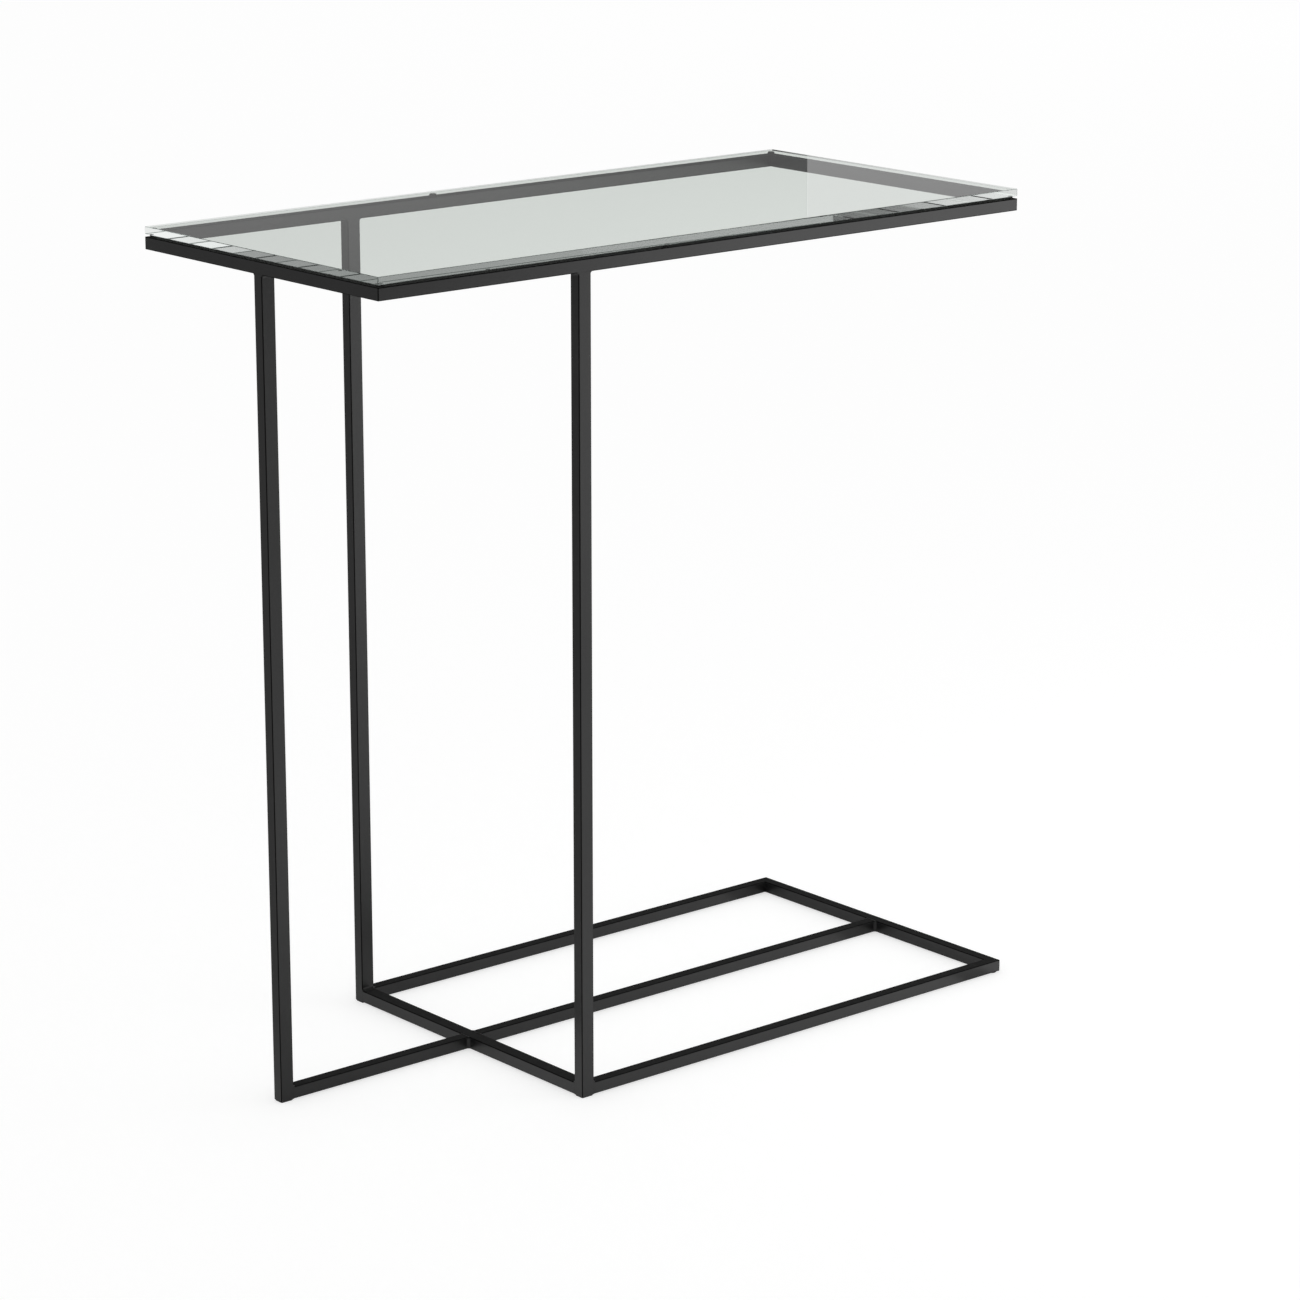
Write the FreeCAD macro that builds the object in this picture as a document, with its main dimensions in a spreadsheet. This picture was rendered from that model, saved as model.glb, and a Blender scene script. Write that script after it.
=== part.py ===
# A C-shaped side table: a loose glass top on small pads, over a welded frame of thin steel tube.
#
# The model's frame: +X along the table's length, +Y towards its back, +Z up. The origin is the middle
# of the table's outline at floor level. All sizes are in millimetres and stand in the sheet Sizes.
#
# The frame's tubes butt flush or meet in mitres. Where a tube butts on another one, a weld fills the
# inner corners with hollow fillets and closes the grooves that the tubes' rounded corners leave, as
# a joint that is welded and ground does. The legs' open lower ends hold ribbed plugs, whose heads are
# the feet, and two pads of the same height carry the base's right-hand corners.
import FreeCAD, Part

import os
import re

import Sketcher

# Driving dimensions: alias, value, what it measures.
DRIVING = [
    ("table_length", 650, "overall length"),
    ("table_depth", 300, "overall depth"),
    ("table_height", 675, "floor to the glass's upper face"),
    ("glass_thickness", 6, "glass top"),
    ("glass_corner", 1.0, "radius of the glass's upright corners"),
    ("glass_arris", 0.4, "polished bevel on the glass's edges"),
    ("pad_thickness", 1.9, "gap between the frame and the glass"),
    ("pad_radius", 3, "round pads under the glass"),
    ("pad_edge", 0.4, "bevel on the pads' upper edge"),
    ("middle_pad_place", 276, "left end of the table to the middle pads' centres"),
    ("rail_width", 10, "rails and legs, from one flush face to the other"),
    ("rail_height", 10, "height of every lying tube"),
    ("post_width", 12, "legs, cross rail and left rail, along X"),
    ("tube_wall", 1.2, "wall of every tube"),
    ("tube_corner", 0.8, "outer rounding along every tube"),
    ("post_setback", 186.5, "left end of the table to the front and back legs"),
    ("weld_radius", 3, "hollow radius of the weld fillets"),
    ("foot_height", 1, "the frame's lowest face above the floor"),
    ("plug_inset", 0.6, "plug head inside the tube's outline"),
    ("plug_depth", 14, "plug's stem inside the leg"),
    ("plug_fit", 0.1, "clearance of the plug's ribs in the tube"),
    ("rib_height", 0.7, "how far the plug's ribs stand out"),
    ("rib_thickness", 1.0, "each rib of the plug"),
    ("rib_count", 4, "ribs on each plug"),
    ("floor_pad_radius", 4, "pads under the right-hand corners"),
    ("floor_pad_edge", 0.3, "bevel on the floor pads' lower edge"),
    ("cut_overrun", 5, "how far a cutting profile runs past the solid"),
    ("weld_share", 0.8, "part of the rounding's run that a weld fills, so that it ends in no feather edge"),
    ("bevel_share", 1.25, "bevel on the welds' edges, as a part of the tubes' rounding"),
]

# Sizes and places worked out from the driving dimensions, as the sheet's own formulas.
DERIVED = [
    ("half_length", "=table_length / 2", "origin to either end"),
    ("half_depth", "=table_depth / 2", "origin to front or back"),
    ("half_rail", "=rail_width / 2", "middle of a rail to its face"),
    ("glass_low", "=table_height - glass_thickness", "lower face of the glass"),
    ("top_high", "=glass_low - pad_thickness", "upper face of the top frame"),
    ("top_low", "=top_high - rail_height", "lower face of the top frame"),
    ("base_low", "=foot_height", "lower face of the base"),
    ("leg_length", "=top_low - base_low", "legs, from end to end"),
    ("posts_left", "=post_setback - half_length", "left face of the front and back legs"),
    ("posts_right", "=posts_left + post_width", "right face of the front and back legs"),
    ("left_leg_right", "=post_width - half_length", "right face of the left leg"),
    ("cross_length", "=table_depth - 2 * rail_width", "cross rail, from leg to leg"),
    ("side_length", "=half_length - posts_right", "base's long rails, from leg to mitre"),
    ("bead_run", "=weld_share * weld_radius", "weld fillet, along each tube"),
    ("groove_run", "=weld_share * tube_corner", "weld in the groove of a rounded corner"),
    ("weld_bevel", "=bevel_share * tube_corner", "bevel on the edges of a weld"),
    ("rib_spread", "=plug_depth - rib_thickness", "first rib of a plug to its last"),
]

SHEET = "Sizes"
CLOSE = 1e-5  # two places nearer than this are the same place
ALIASES = {alias for alias, _, _ in DRIVING + DERIVED}

X, Y, Z = FreeCAD.Vector(1, 0, 0), FreeCAD.Vector(0, 1, 0), FreeCAD.Vector(0, 0, 1)

doc = FreeCAD.newDocument("side_table")
sheet = doc.addObject("Spreadsheet::Sheet", SHEET)
parts = []


def fill_sheet():
    """Writes every dimension into the sheet with its alias and a note."""
    for row, (alias, amount, note) in enumerate(DRIVING + DERIVED, start=1):
        sheet.set(f"A{row}", alias)
        sheet.set(f"B{row}", str(amount))
        sheet.setAlias(f"B{row}", alias)
        sheet.set(f"C{row}", note)
    doc.recompute()


def bound(expression):
    """The expression with each alias in it read from the sheet."""
    def of_sheet(word):
        return f"{SHEET}.{word[0]}" if word[0] in ALIASES else word[0]

    return re.sub(r"[a-z_]+", of_sheet, expression)


def value(expression):
    """What an expression of aliases comes to now."""
    return float(sheet.evalExpression(bound(expression)))


def bind(thing, **expressions):
    """Ties properties of an object to expressions of aliases."""
    for name, expression in expressions.items():
        thing.setExpression(name, bound(expression))


def place(thing, at, turn=FreeCAD.Rotation()):
    """Sets an object's rotation, and ties its origin to three expressions."""
    thing.Placement = FreeCAD.Placement(FreeCAD.Vector(), turn)
    for axis, expression in zip("xyz", at):
        thing.setExpression(f"Placement.Base.{axis}", bound(expression))


def about_up(degrees):
    """A turn about +Z."""
    return FreeCAD.Rotation(Z, degrees)


def keep(thing, label):
    """Makes an object one of the table's pieces, under the name of its file."""
    thing.Label = label
    parts.append(thing)
    return thing


# Sketches


def new_sketch(body, name, role, height=None):
    """A sketch on one of the body's own origin planes, or at a height above it."""
    sketch = body.newObject("Sketcher::SketchObject", name)
    origin_plane = next(feature for feature in body.Origin.OriginFeatures if feature.Role == role)
    sketch.AttachmentSupport = [(origin_plane, "")]
    sketch.MapMode = "FlatFace"
    if height:
        sketch.setExpression("AttachmentOffset.Base.z", bound(height))
    return sketch


def dimension(sketch, kind, *places, size):
    """A dimension of a sketch that follows the sheet."""
    index = sketch.addConstraint(Sketcher.Constraint(kind, *places, value(size)))
    sketch.setExpression(f"Constraints[{index}]", bound(size))


def outline(sketch, points, arcs=None):
    """A closed outline through points, each given as two expressions.

    The stretch after point number n is an arc where arcs[n] gives its radius and its centre.
    """
    arcs = arcs or {}
    at = [FreeCAD.Vector(*(value(part) for part in point)) for point in points]
    starts = []
    for line, (start, end) in enumerate(zip(at, at[1:] + at[:1])):
        if line not in arcs:
            sketch.addGeometry(Part.LineSegment(start, end), False)
            starts.append(1)
            continue
        radius, *centre = arcs[line]
        middle = FreeCAD.Vector(*(value(part) for part in centre))
        anticlockwise = (start - middle).cross(end - middle).z > 0
        first, last = (start, end) if anticlockwise else (end, start)
        circle = Part.Circle(middle, Z, value(radius))
        sketch.addGeometry(Part.ArcOfCircle(circle, circle.parameter(first), circle.parameter(last)), False)
        starts.append(1 if anticlockwise else 2)
    for line, first in enumerate(starts):
        following = (line + 1) % len(starts)
        sketch.addConstraint(Sketcher.Constraint("Coincident", line, 3 - first, following, starts[following]))
    for line, (across, up) in enumerate(points):
        dimension(sketch, "DistanceX", -1, 1, line, starts[line], size=across)
        dimension(sketch, "DistanceY", -1, 1, line, starts[line], size=up)
    for line, (radius, *_) in arcs.items():
        dimension(sketch, "Radius", line, size=radius)


def rectangle(sketch, low, high):
    """A rectangle between two corners."""
    outline(sketch, [low, (high[0], low[1]), high, (low[0], high[1])])


def disc(sketch, radius):
    """A circle about the sketch's origin."""
    sketch.addGeometry(Part.Circle(FreeCAD.Vector(), Z, value(radius)), False)
    sketch.addConstraint(Sketcher.Constraint("Coincident", 0, 3, -1, 1))
    dimension(sketch, "Radius", 0, size=radius)


# Features


def pad(body, name, sketch, length):
    """Raises a sketch by a length."""
    feature = body.newObject("PartDesign::Pad", name)
    feature.Profile = sketch
    bind(feature, Length=length)
    doc.recompute()
    return feature


def pocket_through(body, name, sketch):
    """Cuts a sketch through the whole body on the side that the sketch faces."""
    before = body.Shape.Volume
    feature = body.newObject("PartDesign::Pocket", name)
    feature.Profile = sketch
    feature.Type = "ThroughAll"
    feature.Reversed = True
    doc.recompute()
    if body.Shape.Volume >= before:
        raise RuntimeError(f"{body.Name}: {name} cut nothing")
    return feature


def edges_where(shape, wanted):
    """Names of the shape's edges that a test picks."""
    return [f"Edge{number}" for number, edge in enumerate(shape.Edges, start=1) if wanted(edge)]


def runs_along(direction):
    """A test for straight edges that run along a direction."""
    def wanted(edge):
        run = edge.Vertexes[-1].Point - edge.Vertexes[0].Point
        return run.Length > CLOSE and run.cross(direction).Length < CLOSE

    return wanted


def lies_at(height):
    """A test for edges that lie whole at a height."""
    def wanted(edge):
        box = edge.BoundBox
        return abs(box.ZMin - height) < CLOSE and abs(box.ZMax - height) < CLOSE

    return wanted


def dress(body, kind, name, base, edges, **size):
    """Rounds or bevels the named edges of a feature."""
    feature = body.newObject(f"PartDesign::{kind}", name)
    feature.Base = (base, edges)
    bind(feature, **size)
    doc.recompute()
    return feature


# Tubes


def tube(name, role, axis, width, height, length):
    """A body with a tube that runs along an axis, its section's corner on that axis."""
    body = doc.addObject("PartDesign::Body", name)
    section = new_sketch(body, "Section", role)
    rectangle(section, ("0", "0"), (width, height))
    solid = pad(body, "Run", section, length)
    dress(body, "Fillet", "Corners", solid, edges_where(solid.Shape, runs_along(axis)), Radius="tube_corner")
    bore = new_sketch(body, "BoreSection", role)
    rectangle(bore, ("tube_wall", "tube_wall"), (f"{width} - tube_wall", f"{height} - tube_wall"))
    pocket_through(body, "Bore", bore)
    return body


def mitre(body, name, width, neighbour, length=None):
    """Cuts a rail's end along the line from the frame's outer corner to its inner one.

    The rail's outer face is at y = 0. The cut leaves this rail's share of the rounded upright
    corner. It is made at the rail's start, or at its end where a length is given.
    """
    def along(distance):
        return f"{length} - ({distance})" if length else distance

    # where the mitre line meets the rounded corner, as a share of the two widths
    meets = f"tube_corner * ({neighbour} + {width} - sqrt(2 * {neighbour} * {width})) / ({neighbour}^2 + {width}^2)"
    points = [
        (along("tube_corner"), "0"),
        (along(f"{meets} * {neighbour}"), f"{meets} * {width}"),
        (along(f"{neighbour} * (1 + cut_overrun / {width})"), f"{width} + cut_overrun"),
        (along("0 - cut_overrun"), f"{width} + cut_overrun"),
        (along("0 - cut_overrun"), "0 - cut_overrun"),
        (along("tube_corner"), "0 - cut_overrun"),
    ]
    section = new_sketch(body, f"{name}Section", "XY_Plane")
    outline(section, points, {0: ("tube_corner", along("tube_corner"), "tube_corner")})
    pocket_through(body, name, section)


def rail(label, at, degrees, length, width="rail_width", start=None, end=None):
    """A lying tube, with a mitre at either end where the neighbour's width is given."""
    body = tube(label.title().replace("_", ""), "YZ_Plane", X, width, "rail_height", length)
    if start:
        mitre(body, "StartMitre", width, start)
    if end:
        mitre(body, "EndMitre", width, end, length)
    place(body, at, about_up(degrees))
    return keep(body, label)


def leg(label, at):
    """An upright tube from the base's lower face to the top frame."""
    body = tube(label.title().replace("_", ""), "XY_Plane", Z, "post_width", "rail_width", "leg_length")
    place(body, (*at, "base_low"))
    return keep(body, label)


# Welds

spool_profiles = {}


def spool(depth):
    """The round cutter that hollows a weld: about its local Y, with cones that bevel the weld's edges."""
    if depth not in spool_profiles:
        sketch = doc.addObject("Sketcher::SketchObject", f"SpoolProfile_{depth}")
        wide = "weld_radius + weld_bevel + cut_overrun"
        points = [
            ("0", "0 - cut_overrun"),
            (wide, "0 - cut_overrun"),
            ("weld_radius", "weld_bevel"),
            ("weld_radius", f"{depth} - weld_bevel"),
            (wide, f"{depth} + cut_overrun"),
            ("0", f"{depth} + cut_overrun"),
        ]
        outline(sketch, points)
        spool_profiles[depth] = sketch
    cutter = doc.addObject("Part::Revolution", "Spool")
    cutter.Source = spool_profiles[depth]
    cutter.Axis = Y
    cutter.Base = FreeCAD.Vector()
    cutter.Angle = 360
    cutter.Solid = True
    return cutter


def block(low, high):
    """A box between two corners."""
    box = doc.addObject("Part::Box", "Block")
    sizes = [f"({b}) - ({a})" for a, b in zip(low, high)]
    bind(box, Length=sizes[0], Width=sizes[1], Height=sizes[2])
    place(box, low)
    return box


def less(thing, *tools):
    """An object with each tool cut from it in turn."""
    for tool in tools:
        cut = doc.addObject("Part::Cut", "Less")
        cut.Base, cut.Tool = thing, tool
        thing = cut
    return thing


def joined(things):
    """Several objects as one solid."""
    fuse = doc.addObject("Part::MultiFuse", "Joined")
    fuse.Shapes = things
    return fuse


def weld(at, axes, width, depth, tubes, both=True):
    """The weld of a tube that butts on another one, flush with it on two sides.

    Its own frame: X along the tube that is butted on, from the butting tube's first face; Y across,
    from one flush face to the other; Z into the tube that is butted on. With both=False the butting
    tube's first face is the frame's open end, and only the far corner has a hollow fillet.
    """
    far = (f"{width} + bead_run", depth, "groove_run")
    far_spool = spool(depth)
    place(far_spool, (f"{width} + weld_radius", "0", "0 - weld_radius"))
    if both:
        near_spool = spool(depth)
        place(near_spool, ("0 - weld_radius", "0", "0 - weld_radius"))
        inside = block(("tube_corner", "tube_corner", "0 - bead_run - cut_overrun"),
                       (f"{width} - tube_corner", f"{depth} - tube_corner", "groove_run + cut_overrun"))
        shape = less(block(("0 - bead_run", "0", "0 - bead_run"), far), inside, near_spool, far_spool)
    else:
        groove = block(("0", "0", "0"), (width, depth, "groove_run"))
        bead = block((f"{width} - groove_run", "0", "0 - bead_run"), far)
        shape = less(joined([groove, bead]), far_spool)
    place(shape, at, FreeCAD.Rotation(*axes, "XYZ"))
    return less(shape, *tubes)


def group(label, things):
    """Several solids as one piece of the list."""
    compound = doc.addObject("Part::Compound", label.title().replace("_", ""))
    compound.Links = things
    return keep(compound, label)


# Plugs, pads and glass


def plug(label, at):
    """A leg's plug: a thin head to stand on, and a ribbed stem inside the tube."""
    body = doc.addObject("PartDesign::Body", label.title().replace("_", ""))

    def layer(name, inset, height, length):
        sketch = new_sketch(body, f"{name}Outline", "XY_Plane", height)
        rectangle(sketch, (inset, inset), (f"post_width - ({inset})", f"rail_width - ({inset})"))
        return pad(body, name, sketch, length)

    head = layer("Head", "plug_inset", None, "foot_height")
    dress(body, "Fillet", "HeadCorners", head, edges_where(head.Shape, runs_along(Z)), Radius="tube_corner")
    layer("Stem", "tube_wall + plug_fit + rib_height", "foot_height", "plug_depth")
    rib = layer("Rib", "tube_wall + plug_fit", "foot_height", "rib_thickness")
    pattern = body.newObject("PartDesign::LinearPattern", "Ribs")
    pattern.Originals = [rib]
    upwards = next(feature for feature in body.Origin.OriginFeatures if feature.Role == "Z_Axis")
    pattern.Direction = (upwards, [""])
    bind(pattern, Length="rib_spread", Occurrences="rib_count")
    body.Tip = pattern
    doc.recompute()
    place(body, (*at, "0"))
    return keep(body, label)


def round_pad(label, at, radius, thickness, edge, edge_height):
    """A round pad with a bevel on one edge."""
    body = doc.addObject("PartDesign::Body", label.title().replace("_", ""))
    sketch = new_sketch(body, "Outline", "XY_Plane")
    disc(sketch, radius)
    solid = pad(body, "Disc", sketch, thickness)
    dress(body, "Chamfer", "Edge", solid, edges_where(solid.Shape, lies_at(value(edge_height))), Size=edge)
    place(body, at)
    return keep(body, label)


def glass_top():
    """The loose glass, flush with the frame all round."""
    body = doc.addObject("PartDesign::Body", "GlassTop")
    sketch = new_sketch(body, "Outline", "XY_Plane")
    rectangle(sketch, ("0", "0"), ("table_length", "table_depth"))
    sheet_glass = pad(body, "Sheet", sketch, "glass_thickness")
    upright = edges_where(sheet_glass.Shape, runs_along(Z))
    rounded = dress(body, "Fillet", "Corners", sheet_glass, upright, Radius="glass_corner")
    rims = edges_where(rounded.Shape, lies_at(0)) + edges_where(rounded.Shape, lies_at(value("glass_thickness")))
    dress(body, "Chamfer", "Arris", rounded, rims, Size="glass_arris")
    place(body, ("0 - half_length", "0 - half_depth", "glass_low"))
    return keep(body, "glass_top")


# The table

fill_sheet()

left, right = "0 - half_length", "half_length"
front, back = "0 - half_depth", "half_depth"
back_inner = "half_depth - rail_width"
front_inner = "rail_width - half_depth"

top_front = rail("top_rail_front", (left, front, "top_low"), 0, "table_length", start="post_width", end="rail_width")
top_right = rail("top_rail_right", (right, front, "top_low"), 90, "table_depth", start="rail_width", end="rail_width")
top_back = rail("top_rail_back", (right, back, "top_low"), 180, "table_length", start="rail_width", end="post_width")
top_left = rail("top_rail_left", (left, back, "top_low"), 270, "table_depth", "post_width", "rail_width", "rail_width")

leg_left = leg("leg_left", (left, "0 - half_rail"))
leg_front = leg("leg_front", ("posts_left", front))
leg_back = leg("leg_back", ("posts_left", back_inner))

cross = rail("base_cross_rail", ("posts_right", front_inner, "base_low"), 90, "cross_length", "post_width")
base_front = rail("base_rail_front", ("posts_right", front, "base_low"), 0, "side_length", end="rail_width")
base_back = rail("base_rail_back", (right, back, "base_low"), 180, "side_length", start="rail_width")
base_right = rail("base_rail_right", (right, front, "base_low"), 90, "table_depth", start="rail_width", end="rail_width")
short_centre = rail(
    "base_centre_rail_left", ("left_leg_right", "0 - half_rail", "base_low"), 0, "posts_left - left_leg_right"
)
long_centre = rail(
    "base_centre_rail_right", ("posts_right", "0 - half_rail", "base_low"), 0, "side_length - rail_width"
)

group("top_welds", [
    weld(("posts_left", front, "top_low"), (X, Y, Z), "post_width", "rail_width", (top_front, leg_front)),
    weld(("posts_left", back_inner, "top_low"), (X, Y, Z), "post_width", "rail_width", (top_back, leg_back)),
    weld(("left_leg_right", "0 - half_rail", "top_low"), (Y, -X, Z), "rail_width", "post_width", (top_left, leg_left)),
])
group("foot_welds", [
    joined([
        weld(("posts_right", front, "base_low"), (Z, Y, -X), "rail_height", "rail_width",
             (leg_front, base_front, cross), both=False),
        weld(("posts_right", front_inner, "base_low"), (Z, -X, -Y), "rail_height", "post_width",
             (leg_front, base_front, cross), both=False),
    ]),
    joined([
        weld(("posts_right", back_inner, "base_low"), (Z, Y, -X), "rail_height", "rail_width",
             (leg_back, base_back, cross), both=False),
        weld(("posts_left", back_inner, "base_low"), (Z, X, Y), "rail_height", "post_width",
             (leg_back, base_back, cross), both=False),
    ]),
    weld(("left_leg_right", "0 - half_rail", "base_low"), (Z, Y, -X), "rail_height", "rail_width",
         (leg_left, short_centre), both=False),
])
group("base_welds", [
    weld(("posts_left", "0 - half_rail", "base_low"), (Y, Z, X), "rail_width", "rail_height", (cross, short_centre)),
    weld(("posts_right", "half_rail", "base_low"), (-Y, Z, -X), "rail_width", "rail_height", (cross, long_centre)),
    weld(("half_length - rail_width", "0 - half_rail", "base_low"), (Y, Z, X), "rail_width", "rail_height",
         (base_right, long_centre)),
])

plug("foot_plug_left", (left, "0 - half_rail"))
plug("foot_plug_front", ("posts_left", front))
plug("foot_plug_back", ("posts_left", back_inner))
for side, y in (("front", "half_rail - half_depth"), ("back", "half_depth - half_rail")):
    round_pad(f"floor_pad_{side}", ("half_length - half_rail", y, "0"), "floor_pad_radius", "foot_height",
              "floor_pad_edge", "0")
    for column, x in (("left", "half_rail - half_length"), ("middle", "middle_pad_place - half_length"),
                      ("right", "half_length - half_rail")):
        round_pad(f"glass_pad_{side}_{column}", (x, y, "top_high"), "pad_radius", "pad_thickness",
                  "pad_edge", "pad_thickness")
glass_top()

# Checks and files

doc.recompute()
for thing in doc.Objects:
    if {"Invalid", "Error"} & set(thing.State):
        raise RuntimeError(f"{thing.Label} failed: {thing.State}")
os.makedirs("parts", exist_ok=True)
for part in parts:
    shape = part.Shape
    if shape.isNull() or not shape.isValid() or not shape.Solids:
        raise RuntimeError(f"{part.Label} has no sound solid")
for part in parts:
    part.Shape.exportStep(f"parts/{part.Label}.step")
    print(f"{part.Label:24s} {len(part.Shape.Solids)} solid(s) {part.Shape.Volume:10.1f} mm3")
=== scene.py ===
"""A C-shaped side table with a loose glass top, dressed and lit as for a catalogue.

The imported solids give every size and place. The classes below give the table its finishes, put
moulded bumpers in the place of the plain pads, and stand it in a pale studio.
"""

from __future__ import annotations

import logging
import math
from dataclasses import dataclass, field
from enum import Enum
from typing import ClassVar

import bpy
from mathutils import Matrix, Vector

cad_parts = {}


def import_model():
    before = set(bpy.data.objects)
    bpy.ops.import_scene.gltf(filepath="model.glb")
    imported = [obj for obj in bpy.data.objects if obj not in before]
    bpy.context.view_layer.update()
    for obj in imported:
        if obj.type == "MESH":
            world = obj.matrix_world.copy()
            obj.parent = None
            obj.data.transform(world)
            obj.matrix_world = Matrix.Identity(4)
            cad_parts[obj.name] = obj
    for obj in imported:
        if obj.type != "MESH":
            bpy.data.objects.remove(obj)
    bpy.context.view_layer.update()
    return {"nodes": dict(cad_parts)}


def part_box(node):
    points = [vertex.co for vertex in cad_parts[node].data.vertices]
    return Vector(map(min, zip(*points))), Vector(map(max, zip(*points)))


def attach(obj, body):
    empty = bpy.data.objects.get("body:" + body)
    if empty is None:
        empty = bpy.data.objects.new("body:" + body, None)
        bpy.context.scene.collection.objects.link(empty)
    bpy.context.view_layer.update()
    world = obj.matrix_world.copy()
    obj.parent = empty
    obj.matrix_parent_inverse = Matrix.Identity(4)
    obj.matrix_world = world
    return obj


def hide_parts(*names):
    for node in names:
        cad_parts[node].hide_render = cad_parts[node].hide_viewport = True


LOG = logging.getLogger("side_table")
MM = 0.001

Colour = tuple[float, float, float]
Place = tuple[float, float, float]

BLACK: Colour = (0.0, 0.0, 0.0)
WHITE: Colour = (1.0, 1.0, 1.0)


class Slot(Enum):
    """The record's material slots."""

    FRAME = "frame_paint"
    PLUG = "plug_plastic"
    PAD = "pad_rubber"
    GLASS = "clear_glass"


class Sight(Enum):
    """The kinds of ray that look at a surface, and aren't light that falls on it."""

    CAMERA = "Is Camera Ray"
    GLOSSY = "Is Glossy Ray"
    TRANSMISSION = "Is Transmission Ray"


class Graph:
    """A node tree with shorter calls for adding, setting and linking nodes."""

    def __init__(self, tree: bpy.types.NodeTree) -> None:
        """Takes over a shader or geometry tree, and empties it."""
        self.tree = tree
        tree.nodes.clear()

    def add(self, kind: str, inputs: dict | None = None, **settings: object) -> bpy.types.Node:
        """Adds a node.

        Args:
            kind: the node's type name.
            inputs: values or output sockets for its inputs, by name or number.
            settings: the node's own properties.

        Returns:
            The new node.
        """
        node = self.tree.nodes.new(kind)
        for name, value in settings.items():
            setattr(node, name, value)
        for name, value in (inputs or {}).items():
            self.feed(node.inputs[name], value)
        return node

    def feed(self, socket: bpy.types.NodeSocket, value: object) -> None:
        """Links an output into a socket, or sets the socket's own value.

        Args:
            socket: the input.
            value: an output socket, a number, a vector or a colour.
        """
        if isinstance(value, bpy.types.NodeSocket):
            self.tree.links.new(value, socket)
        elif socket.type == "RGBA" and len(value) == 3:
            socket.default_value = (*value, 1.0)
        else:
            socket.default_value = value

    def maths(self, operation: str, *values: object, clamp: bool = False) -> bpy.types.NodeSocket:
        """A sum, product or other operation on numbers or sockets.

        Args:
            operation: the Math node's operation.
            values: its operands.
            clamp: whether the result is kept between 0 and 1.

        Returns:
            The result's socket.
        """
        inputs = dict(enumerate(values))
        return self.add("ShaderNodeMath", inputs, operation=operation, use_clamp=clamp).outputs[0]

    def between(self, share: object, low: object, high: object) -> bpy.types.NodeSocket:
        """The number that lies a share of the way from low to high.

        Args:
            share: 0 to 1, as a number or socket.
            low: the number at 0.
            high: the number at 1.

        Returns:
            The number's socket.
        """
        inputs = {"Value": share, "To Min": low, "To Max": high}
        return self.add("ShaderNodeMapRange", inputs).outputs["Result"]

    def ramp(
        self, value: object, start: object, end: object, low: object = 0.0, high: object = 1.0
    ) -> bpy.types.NodeSocket:
        """The number that goes from low to high as a value goes from start to end.

        Args:
            value: the value's socket.
            start: where the change begins.
            end: where it ends.
            low: the number up to the start.
            high: the number from the end on.

        Returns:
            The number's socket.
        """
        inputs = {"Value": value, "From Min": start, "From Max": end, "To Min": low, "To Max": high}
        return self.add("ShaderNodeMapRange", inputs).outputs["Result"]

    def mix_colour(self, share: object, low: object, high: object) -> bpy.types.NodeSocket:
        """The colour that lies a share of the way from low to high.

        Args:
            share: 0 to 1, as a number or socket.
            low: the colour at 0.
            high: the colour at 1.

        Returns:
            The colour's socket.
        """
        node = self.add("ShaderNodeMix", data_type="RGBA")
        for socket, value in (("Factor", share), (6, low), (7, high)):
            self.feed(node.inputs[socket], value)
        return node.outputs[2]

    def seen(self, *kinds: Sight) -> bpy.types.NodeSocket:
        """Tells whether the ray is one of some kinds.

        Args:
            kinds: the kinds of ray.

        Returns:
            The socket for 1 where it is, and 0 otherwise.
        """
        paths = self.add("ShaderNodeLightPath").outputs
        share = paths[kinds[0].value]
        for kind in kinds[1:]:
            share = self.maths("MAXIMUM", share, paths[kind.value])
        return share


@dataclass(frozen=True)
class Change:
    """A number that goes from low to high while a value goes from start to end."""

    start: float
    end: float
    low: float = 0.0
    high: float = 1.0

    def follow(self, graph: Graph, value: bpy.types.NodeSocket) -> bpy.types.NodeSocket:
        """The number's socket for the value's socket."""
        return graph.ramp(value, self.start, self.end, self.low, self.high)


class ShaderGroup:
    """A shader node group that several finishes share, built once."""

    name: str = "shader_group"
    sockets: tuple[tuple[str, str, str], ...] = ()

    def fill(self, graph: Graph, given: bpy.types.Node) -> dict[str, bpy.types.NodeSocket]:
        """Builds the group's inside.

        Args:
            graph: the group's tree.
            given: its input node.

        Returns:
            The socket behind each of the group's outputs.
        """
        raise NotImplementedError

    def tree(self) -> bpy.types.NodeTree:
        """The group, made on its first use.

        Returns:
            The group's node tree.
        """
        made = bpy.data.node_groups.get(self.name)
        if made:
            return made
        made = bpy.data.node_groups.new(self.name, "ShaderNodeTree")
        for label, way, kind in self.sockets:
            made.interface.new_socket(label, in_out=way, socket_type=f"NodeSocket{kind}")
        graph = Graph(made)
        found = self.fill(graph, graph.add("NodeGroupInput"))
        graph.add("NodeGroupOutput", found)
        return made

    def place(self, graph: Graph, inputs: dict) -> bpy.types.Node:
        """Puts the group into a material.

        Args:
            graph: the material's tree.
            inputs: values or sockets for the group's inputs.

        Returns:
            The group node.
        """
        node = graph.add("ShaderNodeGroup", node_tree=self.tree())
        for name, value in inputs.items():
            graph.feed(node.inputs[name], value)
        return node


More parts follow.
